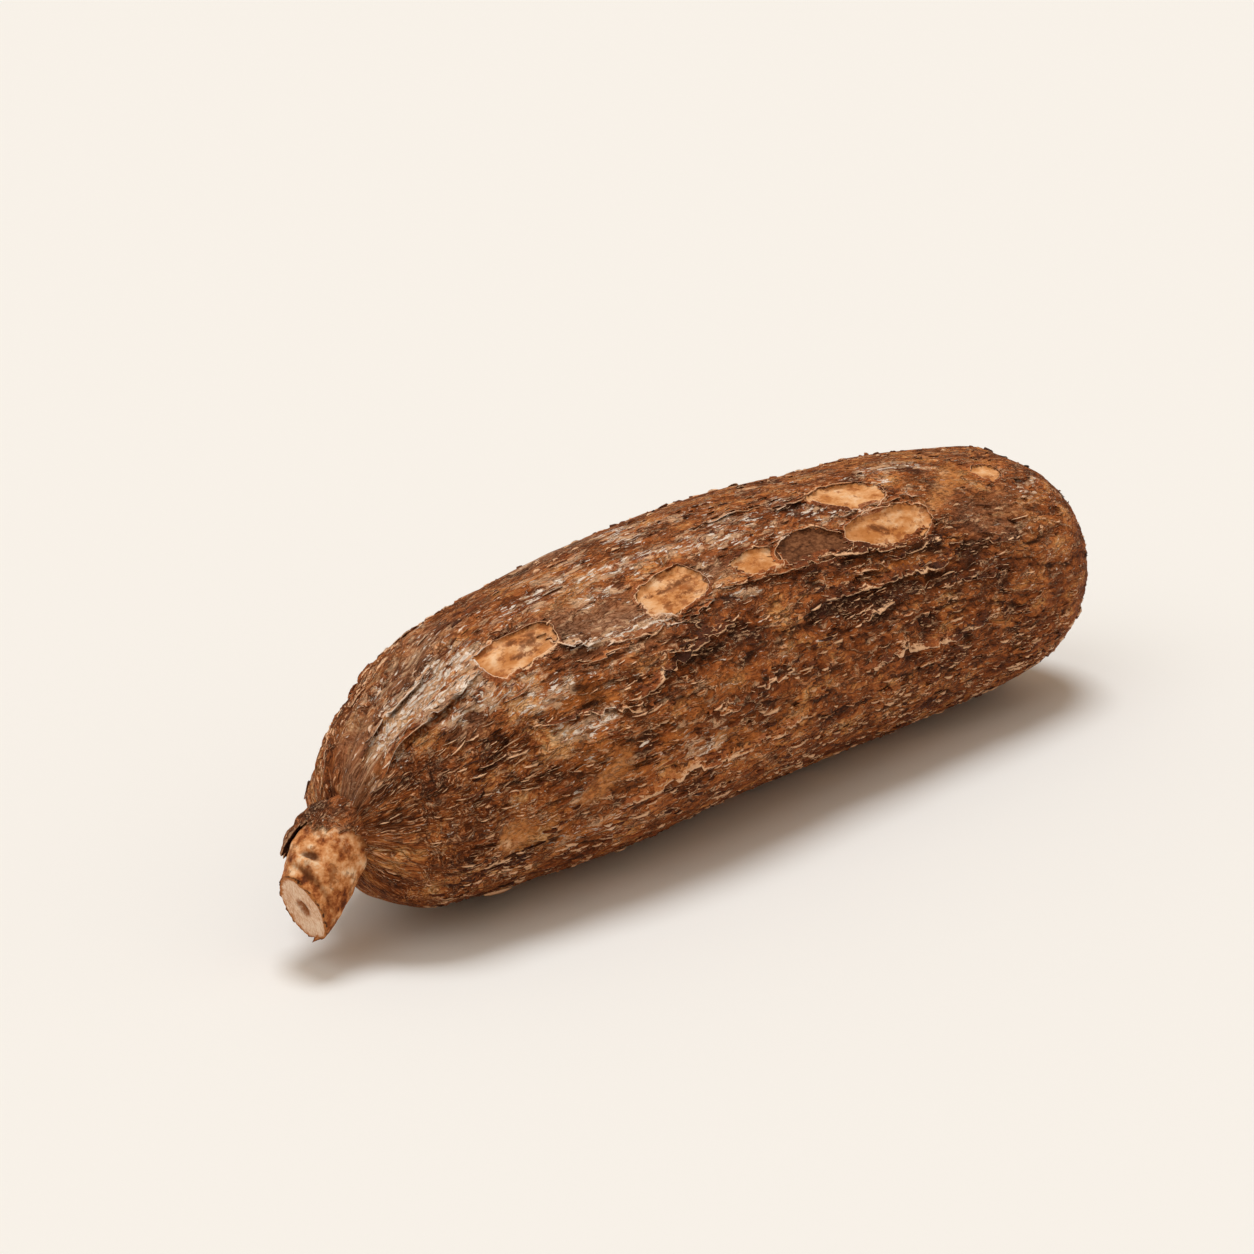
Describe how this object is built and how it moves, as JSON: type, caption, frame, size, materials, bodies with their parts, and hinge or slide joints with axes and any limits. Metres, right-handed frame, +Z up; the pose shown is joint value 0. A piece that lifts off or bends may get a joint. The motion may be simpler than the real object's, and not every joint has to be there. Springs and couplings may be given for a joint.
{
  "type": "cassava root",
  "caption": "Whole cassava root lying on its side: a long blunt tuber in rough brown bark with peeled patches and a short cut stem stub.",
  "frame": {"origin": "below the middle of the root's box, on the surface it lies on", "axes": "+X along the root from its stem stub to its blunt growing end, +Z up, -Z out of the flat spot it rests on"},
  "size_m": [0.2961, 0.0766, 0.0752],
  "materials": {
    "bark": "rough flaking brown root bark with tan peeled patches and a pale cut stem face"
  },
  "bodies": {
    "root": {"cassava_root": "bark"}
  },
  "joints": []
}
